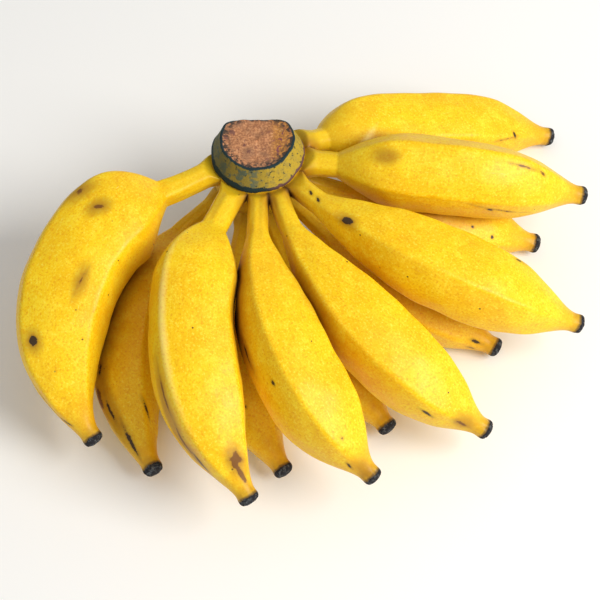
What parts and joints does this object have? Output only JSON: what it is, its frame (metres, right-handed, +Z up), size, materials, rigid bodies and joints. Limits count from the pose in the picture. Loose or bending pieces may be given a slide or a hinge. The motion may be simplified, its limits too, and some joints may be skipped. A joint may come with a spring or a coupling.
{
  "type": "hand of bananas",
  "caption": "Hand of short, plump ripe bananas fanned in two rows from a trimmed crown, lying concave side down on a table.",
  "frame": {"origin": "middle of the hand's footprint, on the table it lies on", "axes": "+X along the hand's longest extent, from the leftmost finger towards the right-hand tips; +Y from the tips towards the back of the crown; +Z up from the table"},
  "size_m": [0.2414, 0.2038, 0.0691],
  "materials": {
    "crown": "dry corky cut face over dull olive-green skin",
    "peel": null
  },
  "bodies": {
    "root": {"crown": "crown", "finger_01": "peel", "finger_02": "peel", "finger_03": "peel", "finger_04": "peel", "finger_05": "peel", "finger_06": "peel", "finger_07": "peel", "finger_08": "peel", "finger_09": "peel", "finger_10": "peel", "finger_11": "peel", "finger_12": "peel"}
  },
  "joints": []
}
